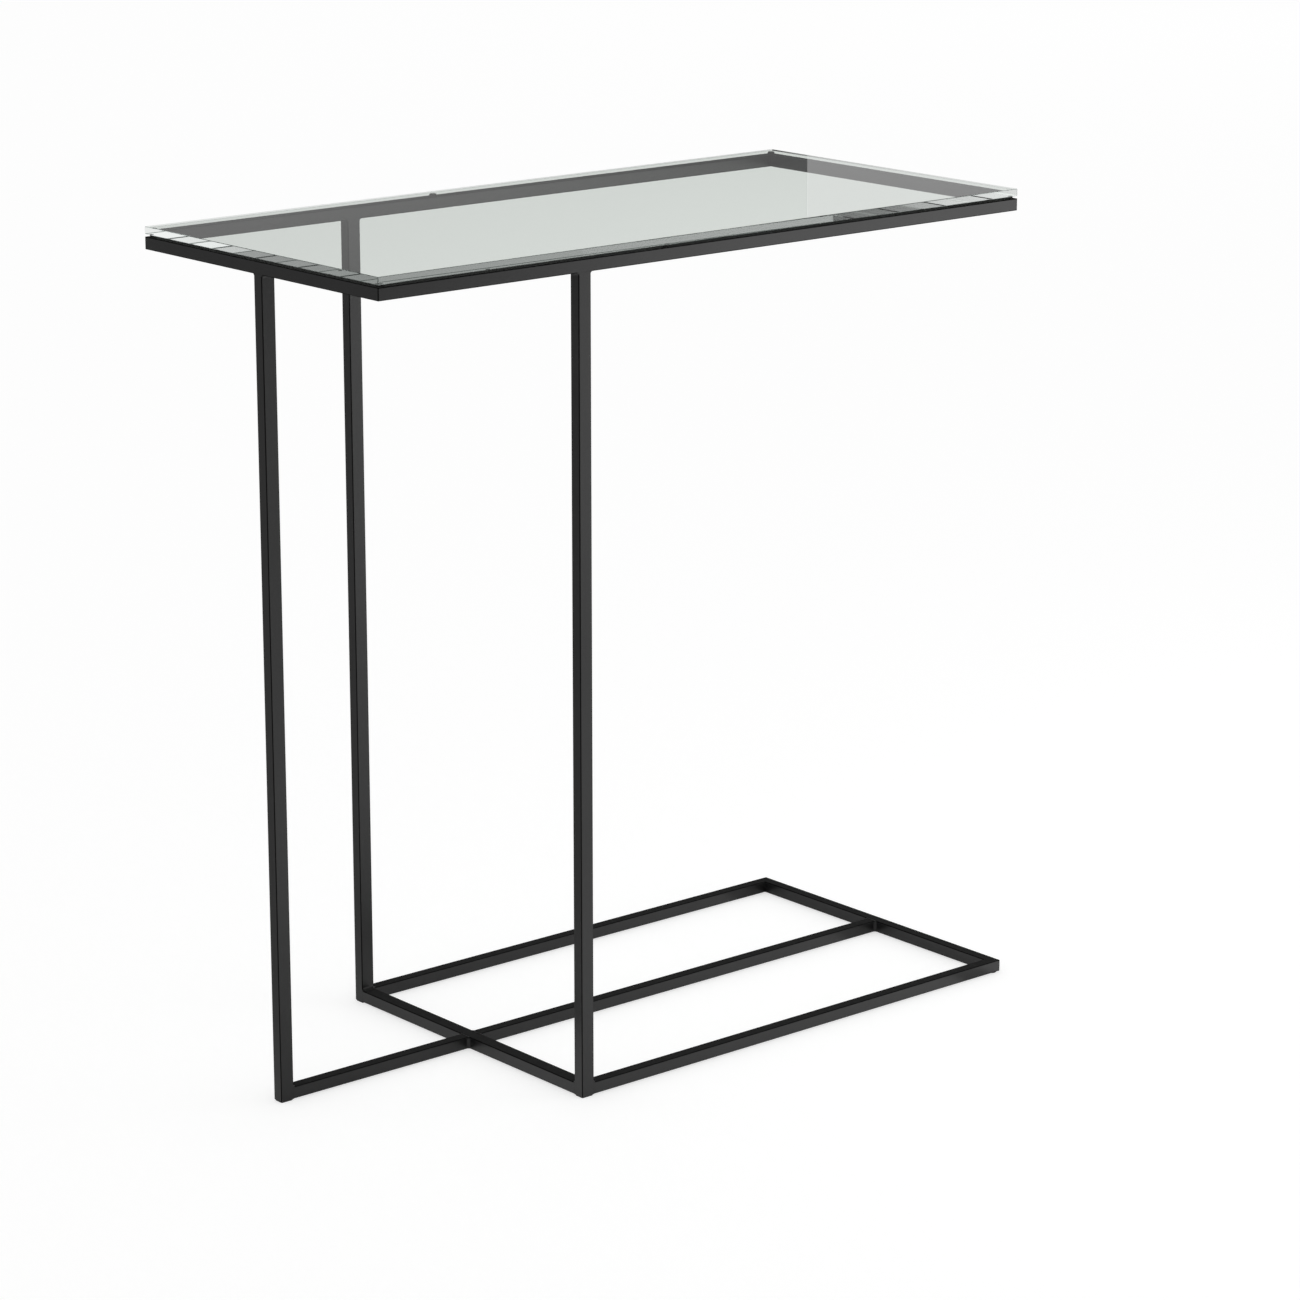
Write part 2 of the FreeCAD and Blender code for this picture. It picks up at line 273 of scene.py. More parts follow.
class FineGrain(ShaderGroup):
    """The fine skin of paint, rubber and plastic: a relief, and drifts of tone and gloss."""

    name = "fine_grain"
    sockets = (
        ("Vector", "INPUT", "Vector"),
        ("Dark", "INPUT", "Color"),
        ("Light", "INPUT", "Color"),
        ("Smooth", "INPUT", "Float"),
        ("Rough", "INPUT", "Float"),
        ("Drift Scale", "INPUT", "Float"),
        ("Grain Scale", "INPUT", "Float"),
        ("Grain Height", "INPUT", "Float"),
        ("Color", "OUTPUT", "Color"),
        ("Roughness", "OUTPUT", "Float"),
        ("Height", "OUTPUT", "Float"),
    )
    drift = Change(0.35, 0.65)
    drift_detail = 3.0
    grain_detail = 2.0

    def fill(self, graph: Graph, given: bpy.types.Node) -> dict[str, bpy.types.NodeSocket]:
        """Takes the drifts from a broad noise, and the relief from a fine one.

        Args:
            graph: the group's tree.
            given: its input node.

        Returns:
            The sockets for colour, roughness and height.
        """
        asked = given.outputs
        drifts, grain = (
            graph.add(
                "ShaderNodeTexNoise",
                {"Vector": asked["Vector"], "Scale": asked[scale], "Detail": detail},
            ).outputs["Fac"]
            for scale, detail in (
                ("Drift Scale", self.drift_detail),
                ("Grain Scale", self.grain_detail),
            )
        )
        share = self.drift.follow(graph, drifts)
        return {
            "Color": graph.mix_colour(share, asked["Dark"], asked["Light"]),
            "Roughness": graph.between(share, asked["Smooth"], asked["Rough"]),
            "Height": graph.maths("MULTIPLY", grain, asked["Grain Height"]),
        }


class ArrisMask(ShaderGroup):
    """Where a tube's or the glass's surface turns from one flat face to the next."""

    name = "arris_mask"
    sockets = (
        ("Normal", "INPUT", "Vector"),
        ("Flat", "INPUT", "Float"),
        ("Turned", "INPUT", "Float"),
        ("Mask", "OUTPUT", "Float"),
    )

    def fill(self, graph: Graph, given: bpy.types.Node) -> dict[str, bpy.types.NodeSocket]:
        """Measures the normal, which has a component near 1 on a flat face and none on an arris.

        Args:
            graph: the group's tree.
            given: its input node.

        Returns:
            The socket for the mask.
        """
        size = graph.add("ShaderNodeVectorMath", {0: given.outputs["Normal"]}, operation="ABSOLUTE")
        parts = graph.add("ShaderNodeSeparateXYZ", {0: size.outputs[0]}).outputs
        largest = graph.maths("MAXIMUM", graph.maths("MAXIMUM", parts["X"], parts["Y"]), parts["Z"])
        return {"Mask": graph.ramp(largest, given.outputs["Flat"], given.outputs["Turned"])}


@dataclass(frozen=True)
class Finish:
    """One finish of the table."""

    name: str

    def shade(self, graph: Graph) -> None:
        """Fills the material's tree."""
        raise NotImplementedError

    def material(self) -> bpy.types.Material:
        """The finish as a material, made on its first use.

        Returns:
            The material.
        """
        made = bpy.data.materials.get(self.name)
        if made is None:
            made = bpy.data.materials.new(self.name)
            made.use_nodes = True
            self.shade(Graph(made.node_tree))
        return made


@dataclass(frozen=True)
class FineFinish(Finish):
    """A dull finish with a fine skin, such as paint, rubber or moulded plastic.

    Attributes:
        dark: the darker of the two tones that the surface drifts between.
        light: the lighter one.
        smooth: the roughness where it is dark.
        rough: the roughness where it is light.
        specular: the gloss of the ground under the coat.
        coat: how much of a clear coat lies on it.
        coat_rough: the coat's roughness.
        coat_ior: the coat's index of refraction.
        drift_scale: how close together the drifts are.
        grain_scale: how fine the grain is.
        grain_height: the grain's height in metres.
    """

    dark: Colour = (0.02, 0.02, 0.02)
    light: Colour = (0.03, 0.03, 0.03)
    smooth: float = 0.5
    rough: float = 0.6
    specular: float = 0.5
    coat: float = 0.0
    coat_rough: float = 0.3
    coat_ior: float = 1.4
    drift_scale: float = 12.0
    grain_scale: float = 1400.0
    grain_height: float = 0.00002

    def layers(
        self, graph: Graph, skin: bpy.types.Node, place: bpy.types.Node
    ) -> dict[str, object]:
        """The values or sockets for the base colour and the coat's weight."""
        return {"Base Color": skin.outputs["Color"], "Coat Weight": self.coat}

    def shade(self, graph: Graph) -> None:
        """Takes one shader's colour, gloss and relief from the fine grain.

        Args:
            graph: the material's tree.
        """
        place = graph.add("ShaderNodeTexCoord")
        skin = FineGrain().place(
            graph,
            {
                "Vector": place.outputs["Object"],
                "Dark": self.dark,
                "Light": self.light,
                "Smooth": self.smooth,
                "Rough": self.rough,
                "Drift Scale": self.drift_scale,
                "Grain Scale": self.grain_scale,
                "Grain Height": self.grain_height,
            },
        )
        bump = graph.add("ShaderNodeBump", {"Height": skin.outputs["Height"], "Distance": 1.0})
        relief = bump.outputs["Normal"]
        shader = graph.add(
            "ShaderNodeBsdfPrincipled",
            {
                **self.layers(graph, skin, place),
                "Roughness": skin.outputs["Roughness"],
                "Normal": relief,
                "Specular IOR Level": self.specular,
                "Coat Roughness": self.coat_rough,
                "Coat IOR": self.coat_ior,
                "Coat Normal": relief,
            },
        )
        graph.add("ShaderNodeOutputMaterial", {"Surface": shader.outputs["BSDF"]})


@dataclass(frozen=True)
class SatinPaint(FineFinish):
    """Black powder coat, with painted shade on the tubes' rounded corners, and dusty on top, where
    the coat is taken off as painted shade.

    Attributes:
        arris_shade: the tone of the rounded corners, painted shade darker than the paint.
        arris_shade_coat: the coat's weight on them, lowered to darken them as painted shade.
        dust_and_top_shade: the tone of the faces that look up, paler as they are dusty.
        dust_and_shade_coat: the coat's weight on those, lowered so that they render darker, as
            painted shade.
        dust_and_shade_slope: how far up a face has to look for the first dusty tone and painted
            shade.
        flat: the largest part of a normal where a rounding begins.
        turned: the same where the rounding counts in full.
    """

    arris_shade: Colour = (0.004, 0.004, 0.004)
    arris_shade_coat: float = 0.1
    dust_and_top_shade: Colour = (0.022, 0.022, 0.022)
    dust_and_shade_coat: float = 0.03
    dust_and_shade_slope: float = 0.5
    flat: float = 0.995
    turned: float = 0.93

    def layers(
        self, graph: Graph, skin: bpy.types.Node, place: bpy.types.Node
    ) -> dict[str, object]:
        """Paints shade on each rounded corner, and makes the faces that look up paler, as if dusty,
        and without coat, which paints shade on them.

        Args:
            graph: the material's tree.
            skin: the fine grain's node.
            place: the texture coordinates.

        Returns:
            The sockets for the base colour and the coat's weight.
        """
        inputs = {"Normal": place.outputs["Normal"], "Flat": self.flat, "Turned": self.turned}
        # painted shade: the rounded corners take a darker tone and less coat
        arris_shade_mask = ArrisMask().place(graph, inputs).outputs["Mask"]
        # dusty tone and painted shade: faces that look up turn paler and lose their coat, which
        # renders them darker
        up = graph.add("ShaderNodeSeparateXYZ", {0: place.outputs["Normal"]}).outputs["Z"]
        dust_and_top_shade = graph.ramp(up, self.dust_and_shade_slope, 1.0)
        face = graph.mix_colour(dust_and_top_shade, skin.outputs["Color"], self.dust_and_top_shade)
        face_coat = graph.between(dust_and_top_shade, self.coat, self.dust_and_shade_coat)
        return {
            "Base Color": graph.mix_colour(arris_shade_mask, face, self.arris_shade),
            "Coat Weight": graph.between(arris_shade_mask, face_coat, self.arris_shade_coat),
        }


@dataclass(frozen=True)
class FloatGlass(Finish):
    """Clear glass, faintly green, and grey along its length.

    It bends light less than real glass does. That gives its upright faces the bright blocks with
    thin bars between them near the corners.

    Attributes:
        tint: the tint of the upper and the lower face.
        side_tint: the tint of the upright faces.
        bevel_painted_shade: the dark tint of the bevels, painted shade along the glass's edges.
        flat: the largest part of a normal where a bevel begins.
        turned: the same where the bevel counts in full.
        side_slope: the upward part of a normal under which a face counts as upright.
        bevel_slope: the middle of the bevels' upward parts.
        bevel_spread: how far those lie from the middle.
        depth_tint: the tint of the glass's inside.
        density: how fast the inside takes light away.
        ior: the index of refraction.
        face_loss: what a ray loses where it leaves by a face, as a multiple of the mirrored part.
        side_loss: the same for an upright face.
        total: the mirrored part from which on a ray counts as reflected whole.
    """

    tint: Colour = (0.957, 0.994, 0.964)
    side_tint: Colour = (0.985, 1.0, 0.99)
    bevel_painted_shade: Colour = (0.25, 0.28, 0.27)
    flat: float = 0.995
    turned: float = 0.93
    side_slope: float = 0.5
    bevel_slope: float = 0.6
    bevel_spread: float = 0.36
    depth_tint: Colour = (0.48, 0.54, 0.51)
    density: float = 1.6
    ior: float = 1.2
    face_loss: float = 0.5
    side_loss: float = 1.3
    total: float = 0.999

    def shade(self, graph: Graph) -> None:
        """Tints the faces, and paints shade on the bevels with a dark tint, over a volume that
        absorbs along the sheet.

        From inside, a ray is reflected whole or leaves, and loses a part where it leaves at a flat
        angle.

        Args:
            graph: the material's tree.
        """
        place = graph.add("ShaderNodeTexCoord")
        inputs = {"Normal": place.outputs["Normal"], "Flat": self.flat, "Turned": self.turned}
        bevel = ArrisMask().place(graph, inputs).outputs["Mask"]
        parts = graph.add("ShaderNodeSeparateXYZ", {0: place.outputs["Normal"]}).outputs
        level = graph.maths("ABSOLUTE", parts["Z"])
        upright = graph.maths("LESS_THAN", level, self.side_slope)
        face = graph.mix_colour(upright, self.tint, self.side_tint)
        # the bevels take a dark tint: painted shade along the glass's edges
        glass = graph.add(
            "ShaderNodeBsdfPrincipled",
            {
                "Base Color": graph.mix_colour(bevel, face, self.bevel_painted_shade),
                "Roughness": 0.0,
                "IOR": self.ior,
                "Transmission Weight": 1.0,
            },
        )
        inside = graph.add("ShaderNodeNewGeometry").outputs["Backfacing"]
        mirrored = graph.add("ShaderNodeFresnel", {"IOR": self.ior}).outputs["Fac"]
        kept_in = graph.maths("GREATER_THAN", mirrored, self.total)
        loss = graph.between(upright, self.face_loss, self.side_loss)
        lost = graph.maths("MULTIPLY", mirrored, loss, clamp=True)
        # the sloping bevels darken the light that leaves through them with the same painted shade
        sloping = graph.maths("COMPARE", level, self.bevel_slope, self.bevel_spread)
        passed = graph.mix_colour(lost, graph.mix_colour(sloping, face, self.bevel_painted_shade), BLACK)
        clear = graph.add(
            "ShaderNodeBsdfRefraction", {"Color": passed, "Roughness": 0.0, "IOR": self.ior}
        )
        surface = graph.add(
            "ShaderNodeMixShader",
            {0: graph.between(inside, 1.0, kept_in), 1: clear.outputs[0], 2: glass.outputs["BSDF"]},
        )
        depth = graph.add(
            "ShaderNodeVolumeAbsorption", {"Color": self.depth_tint, "Density": self.density}
        )
        graph.add(
            "ShaderNodeOutputMaterial",
            {"Surface": surface.outputs[0], "Volume": depth.outputs["Volume"]},
        )


PAINT = SatinPaint(
    "satin_black_paint",
    dark=(0.0095, 0.0095, 0.0096),
    light=(0.0125, 0.0125, 0.0126),
    smooth=0.55,
    rough=0.65,
    specular=0.0,
    coat=1.0,
    coat_rough=0.3,
)
WELD_PAINT = FineFinish(
    "satin_black_weld",
    dark=PAINT.dark,
    light=PAINT.light,
    smooth=PAINT.smooth,
    rough=PAINT.rough,
    specular=PAINT.specular,
    coat=0.9,
    coat_rough=0.32,
    grain_scale=900.0,
    grain_height=0.00005,
)
PLASTIC = FineFinish(
    "moulded_black_plastic",
    dark=(0.012, 0.012, 0.012),
    light=(0.018, 0.018, 0.018),
    smooth=0.45,
    rough=0.6,
)
RUBBER = FineFinish(
    "black_rubber",
    dark=(0.014, 0.014, 0.014),
    light=(0.024, 0.024, 0.023),
    smooth=0.7,
    rough=0.85,
    specular=0.3,
)
GLASS = FloatGlass("clear_float_glass")


def dress(
    nodes: dict[str, bpy.types.Object], names: tuple[str, ...], finish: Finish
) -> None:
    """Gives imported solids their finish.

    Args:
        nodes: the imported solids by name.
        names: those to dress.
        finish: the finish that they take.
    """
    for name in names:
        piece = nodes[name]
        piece.data.materials.clear()
        piece.data.materials.append(finish.material())
        LOG.info("%s: %s", name, finish.name)


@dataclass
class TubeFrame:
    """The welded frame: a top frame on three legs, and a low base that slides under a seat."""

    top_rails: tuple[str, ...] = (
        "top_rail_front",
        "top_rail_right",
        "top_rail_back",
        "top_rail_left",
    )
    legs: tuple[str, ...] = ("leg_left", "leg_front", "leg_back")
    base_rails: tuple[str, ...] = (
        "base_cross_rail",
        "base_rail_front",
        "base_rail_back",
        "base_rail_right",
        "base_centre_rail_left",
        "base_centre_rail_right",
    )
    welds: tuple[str, ...] = ("top_welds", "foot_welds", "base_welds")

    def dress(self, nodes: dict[str, bpy.types.Object]) -> None:
        """Paints the tubes and their welds."""
        dress(nodes, self.top_rails + self.legs + self.base_rails, PAINT)
        dress(nodes, self.welds, WELD_PAINT)


@dataclass
class FloorContacts:
    """What the frame stands on: the plugs in its legs and two pads under the base."""

    plugs: tuple[str, ...] = ("foot_plug_left", "foot_plug_front", "foot_plug_back")
    pads: tuple[str, ...] = ("floor_pad_front", "floor_pad_back")

    def dress(self, nodes: dict[str, bpy.types.Object]) -> None:
        """Gives the plugs and the pads their finishes."""
        dress(nodes, self.plugs, PLASTIC)
        dress(nodes, self.pads, RUBBER)


@dataclass
class BumperTree:
    """Geometry nodes for round bumpers with a soft shoulder, one on each point of two rows."""

    name: str = "bumper_rows"
    columns: int = 3
    rows: int = 2
    steps: int = 4
    tree: bpy.types.NodeTree = field(init=False)

    INPUTS: ClassVar[tuple[tuple[str, str], ...]] = (
        ("Left", "Float"),
        ("Middle", "Float"),
        ("Right", "Float"),
        ("Front", "Float"),
        ("Back", "Float"),
        ("Height", "Float"),
        ("Radius", "Float"),
        ("Thickness", "Float"),
        ("Shoulder", "Float"),
        ("Sides", "Int"),
        ("Material", "Material"),
    )

    def __post_init__(self) -> None:
        """Builds the tree."""
        self.tree = bpy.data.node_groups.new(self.name, "GeometryNodeTree")
        for label, kind in self.INPUTS:
            self.tree.interface.new_socket(label, in_out="INPUT", socket_type=f"NodeSocket{kind}")
        self.tree.interface.new_socket(
            "Geometry", in_out="OUTPUT", socket_type="NodeSocketGeometry"
        )
        graph = Graph(self.tree)
        given = graph.add("NodeGroupInput").outputs
        rows = graph.add(
            "GeometryNodeInstanceOnPoints",
            {"Points": self.places(graph, given), "Instance": self.bumper(graph, given)},
        )
        real = graph.add("GeometryNodeRealizeInstances", {"Geometry": rows.outputs["Instances"]})
        painted = graph.add(
            "GeometryNodeSetMaterial",
            {"Geometry": real.outputs["Geometry"], "Material": given["Material"]},
        )
        graph.add("NodeGroupOutput", {"Geometry": painted.outputs["Geometry"]})

    def places(self, graph: Graph, given: bpy.types.NodeOutputs) -> bpy.types.NodeSocket:
        """Sets out three columns in two rows, where the bumpers stand.

        Args:
            graph: the tree to add to.
            given: the tree's inputs.

        Returns:
            The socket for the points.
        """
        index = graph.add("GeometryNodeInputIndex").outputs[0]
        column = graph.maths("MODULO", index, float(self.columns))
        row = graph.maths("FLOOR", graph.maths("DIVIDE", index, float(self.columns)))
        left_half = graph.between(column, given["Left"], given["Middle"])
        across = graph.between(graph.maths("SUBTRACT", column, 1.0), left_half, given["Right"])
        deep = graph.between(row, given["Front"], given["Back"])
        place = graph.add("ShaderNodeCombineXYZ", {"X": across, "Y": deep, "Z": given["Height"]})
        inputs = {"Count": self.columns * self.rows, "Position": place.outputs[0]}
        return graph.add("GeometryNodePoints", inputs).outputs[0]

    def bumper(self, graph: Graph, given: bpy.types.NodeOutputs) -> bpy.types.NodeSocket:
        """Builds one bumper on the origin: a disc whose upper edge turns in over a few steps.

        Args:
            graph: the tree to add to.
            given: the tree's inputs.

        Returns:
            The socket for its mesh.
        """
        wall = graph.maths("SUBTRACT", given["Thickness"], given["Shoulder"])
        disc = graph.add(
            "GeometryNodeMeshCylinder",
            {"Vertices": given["Sides"], "Radius": given["Radius"], "Depth": wall},
        )
        lift = graph.add("ShaderNodeCombineXYZ", {"Z": graph.maths("MULTIPLY", wall, 0.5)})
        mesh = graph.add(
            "GeometryNodeTransform",
            {"Geometry": disc.outputs["Mesh"], "Translation": lift.outputs[0]},
        ).outputs[0]
        top, before, low = disc.outputs["Top"], given["Radius"], 0.0
        for step in range(1, self.steps + 1):
            angle = step / self.steps * math.pi / 2
            high = math.sin(angle)
            rise = graph.add(
                "ShaderNodeCombineXYZ",
                {"Z": graph.maths("MULTIPLY", given["Shoulder"], high - low)},
            )
            raised = graph.add(
                "GeometryNodeExtrudeMesh",
                {
                    "Mesh": mesh,
                    "Selection": top,
                    "Offset": rise.outputs[0],
                    "Offset Scale": 1.0,
                    "Individual": False,
                },
                mode="FACES",
            )
            drawn_in = graph.maths("MULTIPLY", given["Shoulder"], 1.0 - math.cos(angle))
            radius = graph.maths("SUBTRACT", given["Radius"], drawn_in)
            mesh = graph.add(
                "GeometryNodeScaleElements",
                {
                    "Geometry": raised.outputs["Mesh"],
                    "Selection": raised.outputs["Top"],
                    "Scale": graph.maths("DIVIDE", radius, before),
                },
            ).outputs[0]
            top, before, low = raised.outputs["Top"], radius, high
        return mesh

    def mesh(self, name: str, values: dict[str, object]) -> bpy.types.Object:
        """Runs the tree once and keeps its result.

        Args:
            name: the new piece's name.
            values: the tree's inputs by name.

        Returns:
            A piece with a plain mesh and no modifier.
        """
        carrier = bpy.data.objects.new(f"{name}_carrier", bpy.data.meshes.new(f"{name}_carrier"))
        bpy.context.scene.collection.objects.link(carrier)
        modifier = carrier.modifiers.new(self.name, "NODES")
        modifier.node_group = self.tree
        identifiers = {item.name: item.identifier for item in self.tree.interface.items_tree}
        for label, value in values.items():
            modifier[identifiers[label]] = value
        evaluated = carrier.evaluated_get(bpy.context.evaluated_depsgraph_get())
        piece = bpy.data.objects.new(name, bpy.data.meshes.new_from_object(evaluated))
        bpy.context.scene.collection.objects.link(piece)
        bpy.data.objects.remove(carrier)
        return piece


@dataclass
class GlassBumpers:
    """The six bumpers that carry the glass, in the places of the plain pads."""

    nodes: tuple[str, ...] = tuple(
        f"glass_pad_{row}_{column}"
        for row in ("front", "back")
        for column in ("left", "middle", "right")
    )
    shoulder: float = 0.8 * MM
    sides: int = 40
    body: str = "frame"

    def build(self) -> bpy.types.Object:
        """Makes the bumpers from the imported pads' boxes.

        Returns:
            The one piece that stands for all six pads.
        """
        boxes = {name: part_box(name) for name in self.nodes}
        middles = {name: (low + high) / 2 for name, (low, high) in boxes.items()}
        low, high = boxes["glass_pad_front_left"]
        piece = BumperTree().mesh(
            "glass_bumpers",
            {
                "Left": middles["glass_pad_front_left"].x,
                "Middle": middles["glass_pad_front_middle"].x,
                "Right": middles["glass_pad_front_right"].x,
                "Front": middles["glass_pad_front_left"].y,
                "Back": middles["glass_pad_back_left"].y,
                "Height": low.z,
                "Radius": (high.x - low.x) / 2,
                "Thickness": high.z - low.z,
                "Shoulder": self.shoulder,
                "Sides": self.sides,
                "Material": RUBBER.material(),
            },
        )
        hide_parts(*self.nodes)
        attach(piece, self.body)
        LOG.info("%s: %d faces", piece.name, len(piece.data.polygons))
        return piece


@dataclass
class GlassTop:
    """The loose glass."""

    node: str = "glass_top"

    def dress(self, nodes: dict[str, bpy.types.Object]) -> None:
        """Gives the sheet its clear finish."""
        dress(nodes, (self.node,), GLASS)


@dataclass(frozen=True)
class Softbox:
    """A rectangular lamp that the camera doesn't see, and the glass only mirrors."""

    name: str
    place: Place
    aim: Place
    width: float
    height: float
    power: float

    def build(self) -> None:
        """Makes the lamp."""
        lamp = bpy.data.lights.new(self.name, "AREA")
        lamp.shape = "RECTANGLE"
        lamp.size, lamp.size_y = self.width, self.height
        lamp.energy = self.power
        holder = bpy.data.objects.new(self.name, lamp)
        bpy.context.scene.collection.objects.link(holder)
        holder.location = self.place
        way = Vector(self.aim) - Vector(self.place)
        holder.rotation_euler = way.to_track_quat("-Z", "Y").to_euler()
        holder.visible_camera = False
        holder.visible_transmission = False


@dataclass
class Studio:
    """A pale floor under even light, with a dim room above it and softboxes to the right.

    Where a ray looks at the floor or the room, they have brightnesses of their own, apart from the
    light that falls on the table.

    Attributes:
        floor_half: half the floor's width.
        floor_colour: its colour under the light.
        floor_lift: what it adds to that where it is looked at.
        gloss_away: its brightness in gloss, by the distance from the table, as a painted pool of
            light.
        gloss_across: the share of that which is left, from the back left to the front right, as
            painted light from the front right.
        gloss_rail_shadow: the same, by the distance from the right rail's line: a painted shadow of
            that rail.
        rail_line: that line's place along the table.
        room_light: the even light from all sides.
        background_light: the room where it is looked at.
        horizon: the room in gloss at the horizon.
        wall: the same at the height of the walls.
        ceiling: the same above them.
        wall_foot: the upward part of a direction at which the walls begin.
        wall_head: the same where they end.
        ceiling_edge: the same where the ceiling begins.
        deep_turns: the turns of a ray from which on light is dimmed.
        deep_light: the share that is left then.
        forward: the catalogue view's level direction.
        rightward: the direction to its right.
        sector: the directions that count as ahead, by their part along the view.
        lean: the share of the room's gloss in that sector, from left to right.
        far_floor: where the floor lies far behind the table, by the distance ahead.
        far_lift: what that floor adds through the glass, from left to right.
        edge: where the mirrored edge of the back softbox lies on it.
        edge_slope: how far that edge runs to the right for each metre ahead.
        edge_lift: what the floor adds to the right of it.
        right: the softbox beside the table.
        back_right: the one that the glass mirrors at its right end.
    """

    floor_half: float = 40.0
    floor_colour: Colour = (0.5, 0.5, 0.5)
    floor_lift: float = 0.63
    gloss_away: Change = Change(0.3, 4.0, low=0.56, high=0.02)
    gloss_across: Change = Change(-0.58, 0.5, low=0.2, high=2.0)
    gloss_rail_shadow: Change = Change(0.012, 0.022, low=0.4)
    rail_line: float = 0.302
    room_light: float = 0.7
    background_light: float = 0.98
    horizon: float = 1.0
    wall: float = 0.33
    ceiling: float = 0.03
    wall_foot: float = 0.13
    wall_head: float = 0.15
    ceiling_edge: float = 0.3
    deep_turns: float = 6.5
    deep_light: float = 0.42
    forward: Place = (0.64779, 0.76183, 0.0)
    rightward: Place = (0.76183, -0.64779, 0.0)
    sector: Change = Change(0.9, 0.95)
    lean: Change = Change(-0.1125, 0.0337, low=1.35, high=0.65)
    far_floor: Change = Change(2.6, 3.4)
    far_lift: Change = Change(-0.83, 0.305, low=0.54, high=0.775)
    edge: Change = Change(0.1674, 0.1714)
    edge_slope: float = 0.03807
    edge_lift: float = 0.53
    right: Softbox = Softbox(
        "softbox_right",
        place=(1.25, -1.05, 0.42),
        aim=(0.2, 0.0, 0.4),
        width=1.0,
        height=0.75,
        power=5.0,
    )
    back_right: Softbox = Softbox(
        "softbox_back_right",
        place=(7.129, 4.645, 2.0),
        aim=(2.957, 1.884, 2.0),
        width=4.0,
        height=0.85,
        power=5.35,
    )

    def deep(self, graph: Graph) -> bpy.types.NodeSocket:
        """The share of light that is left after many turns inside the glass.

        Args:
            graph: the tree to add to.

        Returns:
            The socket for the share.
        """
        turns = graph.add("ShaderNodeLightPath").outputs["Ray Depth"]
        many = graph.maths("GREATER_THAN", turns, self.deep_turns)
        return graph.between(many, 1.0, self.deep_light)

    def axes(self, graph: Graph, place: bpy.types.NodeSocket) -> list[bpy.types.NodeSocket]:
        """How far a place or direction lies towards the back of the picture, and to its right.

        Args:
            graph: the tree to add to.
            place: the place or direction.

        Returns:
            The sockets for the two.
        """
        return [
            graph.add(
                "ShaderNodeVectorMath", {0: place, 1: way}, operation="DOT_PRODUCT"
            ).outputs["Value"]
            for way in (self.forward, self.rightward)
        ]

    def floor_through_glass(self, graph: Graph) -> bpy.types.NodeSocket:
        """How bright the floor is through the glass.

        Far behind the table it makes up for what the glass mirrors of the room and of the back
        softbox.

        Args:
            graph: the floor's tree.

        Returns:
            The socket for the strength.
        """
        ahead, aside = self.axes(graph, graph.add("ShaderNodeTexCoord").outputs["Object"])
        past = graph.maths("SUBTRACT", aside, graph.maths("MULTIPLY", ahead, self.edge_slope))
        mirrored = self.edge.follow(graph, past)
        lift = graph.between(mirrored, self.far_lift.follow(graph, aside), self.edge_lift)
        return graph.between(self.far_floor.follow(graph, ahead), self.floor_lift, lift)

    def floor_in_gloss(self, graph: Graph) -> bpy.types.NodeSocket:
        """How bright the floor is in reflections.

        It falls off away from the table and to its back left, as a painted pool of light, and
        carries a painted shadow of the base's right rail beside that rail.

        Args:
            graph: the floor's tree.

        Returns:
            The socket for the strength.
        """
        place = graph.add("ShaderNodeTexCoord").outputs["Object"]
        away = graph.add("ShaderNodeVectorMath", {0: place}, operation="LENGTH").outputs["Value"]
        fallen = self.gloss_away.follow(graph, away)
        axes = graph.add("ShaderNodeSeparateXYZ", {0: place}).outputs
        side = self.gloss_across.follow(graph, graph.maths("SUBTRACT", axes["X"], axes["Y"]))
        # painted shadow of the right rail on the floor, seen only in reflections
        beside = graph.maths("ABSOLUTE", graph.maths("SUBTRACT", axes["X"], self.rail_line))
        shade = self.gloss_rail_shadow.follow(graph, beside)
        return graph.maths("MULTIPLY", graph.maths("MULTIPLY", fallen, side), shade)

    def floor_finish(self) -> bpy.types.Material:
        """A floor that is near white to look at, keeps the table's shadow, and is open from below.

        Returns:
            The material.
        """
        made = bpy.data.materials.new("pale_floor")
        made.use_nodes = True
        graph = Graph(made.node_tree)
        through = graph.seen(Sight.TRANSMISSION)
        mirrored = graph.maths("SUBTRACT", graph.seen(Sight.GLOSSY), through, clamp=True)
        lift = graph.between(through, self.floor_lift, self.floor_through_glass(graph))
        shown = graph.between(mirrored, lift, self.floor_in_gloss(graph))
        looked_at = graph.maths("MULTIPLY", graph.seen(*Sight), shown)
        shader = graph.add(
            "ShaderNodeBsdfPrincipled",
            {
                "Base Color": self.floor_colour,
                "Roughness": 1.0,
                "Specular IOR Level": 0.0,
                "Emission Color": WHITE,
                "Emission Strength": graph.maths("MULTIPLY", looked_at, self.deep(graph)),
            },
        )
        below = graph.add("ShaderNodeNewGeometry").outputs["Backfacing"]
        nothing = graph.add("ShaderNodeBsdfTransparent").outputs[0]
        surface = graph.add(
            "ShaderNodeMixShader", {0: below, 1: shader.outputs["BSDF"], 2: nothing}
        )
        graph.add("ShaderNodeOutputMaterial", {"Surface": surface.outputs[0]})
        return made

    def floor(self) -> None:
        """Makes the wide floor."""
        half = self.floor_half
        mesh = bpy.data.meshes.new("studio_floor")
        outline = [(-half, -half), (half, -half), (half, half), (-half, half)]
        mesh.from_pydata([(*corner, 0.0) for corner in outline], [], [(0, 1, 2, 3)])
        mesh.materials.append(self.floor_finish())
        floor = bpy.data.objects.new("studio_floor", mesh)
        bpy.context.scene.collection.objects.link(floor)

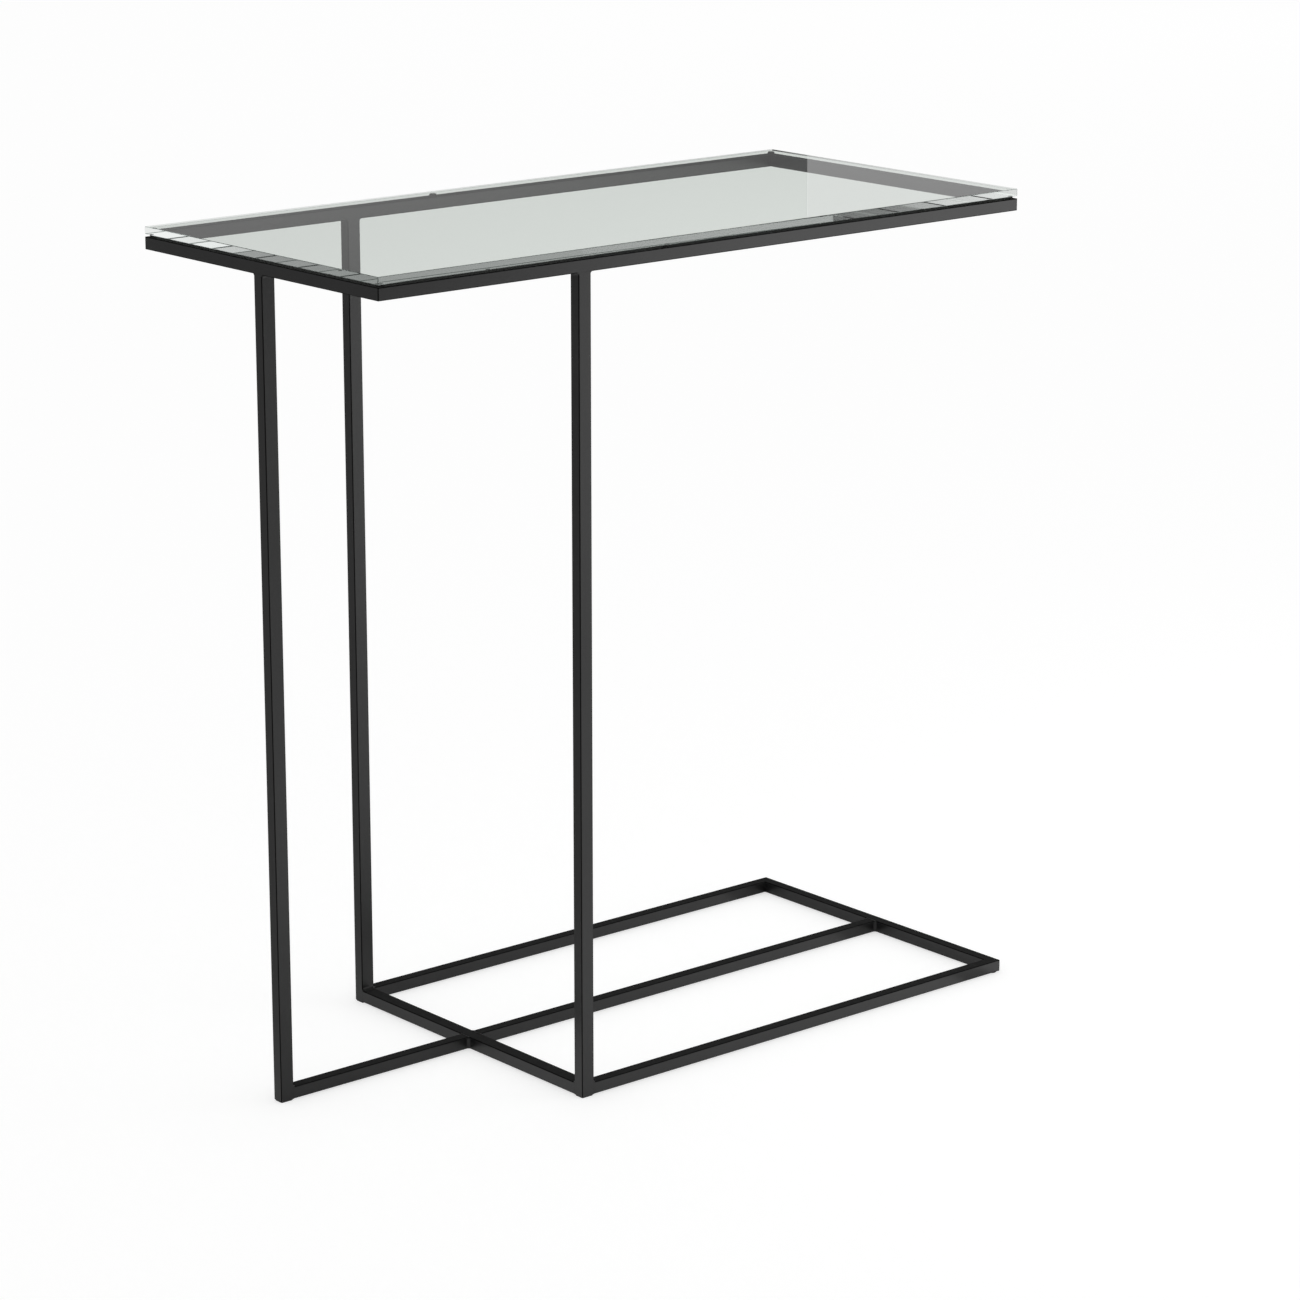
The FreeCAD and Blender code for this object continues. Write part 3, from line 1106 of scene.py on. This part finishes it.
    def world(self) -> None:
        """Sets even light from all sides, a white background, and a room for reflections."""
        world = bpy.data.worlds.new("studio_room")
        world.use_nodes = True
        bpy.context.scene.world = world
        graph = Graph(world.node_tree)
        way = graph.add("ShaderNodeTexCoord").outputs["Generated"]
        height = graph.add("ShaderNodeSeparateXYZ", {0: way}).outputs["Z"]
        low = graph.ramp(height, 0.0, self.wall_foot, self.horizon, self.wall)
        even = graph.ramp(height, self.wall_head, self.ceiling_edge, low, self.ceiling)
        ahead, aside = self.axes(graph, way)
        sector = self.sector.follow(graph, ahead)
        lean = graph.between(sector, 1.0, self.lean.follow(graph, aside))
        room = graph.maths("MULTIPLY", even, lean)
        light = graph.between(graph.seen(Sight.GLOSSY), self.room_light, room)
        looked_at = graph.seen(Sight.CAMERA, Sight.TRANSMISSION)
        bright = graph.between(looked_at, light, self.background_light)
        strength = graph.maths("MULTIPLY", bright, self.deep(graph))
        shade = graph.add("ShaderNodeBackground", {"Color": WHITE, "Strength": strength})
        graph.add("ShaderNodeOutputWorld", {"Surface": shade.outputs[0]})

    def build(self) -> None:
        """Makes the floor, the room and the softboxes."""
        self.floor()
        self.world()
        for softbox in (self.right, self.back_right):
            softbox.build()
        LOG.info("studio: floor, room and softboxes")


@dataclass
class CatalogueCamera:
    """The camera of the catalogue view, from the front left and a little above the glass.

    Attributes:
        place: where it stands.
        aim: what lies in the middle of its picture.
        lens: its focal length in millimetres.
        sensor: its sensor's width in millimetres.
        reach: how far it sees in metres.
        bounces: how often a ray may turn.
        glass_bounces: how often it may turn inside the glass.
    """

    place: Place = (-2.08467, -2.52095, 1.18495)
    aim: Place = (0.05891, 0.0, 0.30115)
    lens: float = 114.945
    sensor: float = 36.0
    reach: float = 200.0
    bounces: int = 32
    glass_bounces: int = 24

    def build(self) -> None:
        """Makes the camera, and lets its rays turn often enough to cross the glass's length."""
        data = bpy.data.cameras.new("catalogue_camera")
        data.lens, data.sensor_width = self.lens, self.sensor
        data.clip_end = self.reach
        camera = bpy.data.objects.new("catalogue_camera", data)
        bpy.context.scene.collection.objects.link(camera)
        camera.location = self.place
        way = Vector(self.aim) - Vector(self.place)
        camera.rotation_euler = way.to_track_quat("-Z", "Y").to_euler()
        bpy.context.scene.camera = camera
        bpy.context.scene.view_settings.view_transform = "Standard"
        paths = bpy.context.scene.cycles
        paths.max_bounces = self.bounces
        paths.glossy_bounces = self.glass_bounces
        paths.transmission_bounces = self.glass_bounces
        LOG.info("camera: %.1f mm lens", self.lens)


def main() -> None:
    """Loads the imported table, dresses it, and sets up the studio and the camera."""
    logging.basicConfig(level=logging.INFO, format="%(name)s: %(message)s")
    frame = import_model()
    nodes = frame["nodes"]
    TubeFrame().dress(nodes)
    FloorContacts().dress(nodes)
    GlassBumpers().build()
    GlassTop().dress(nodes)
    Studio().build()
    CatalogueCamera().build()


if __name__ == "__main__":
    main()
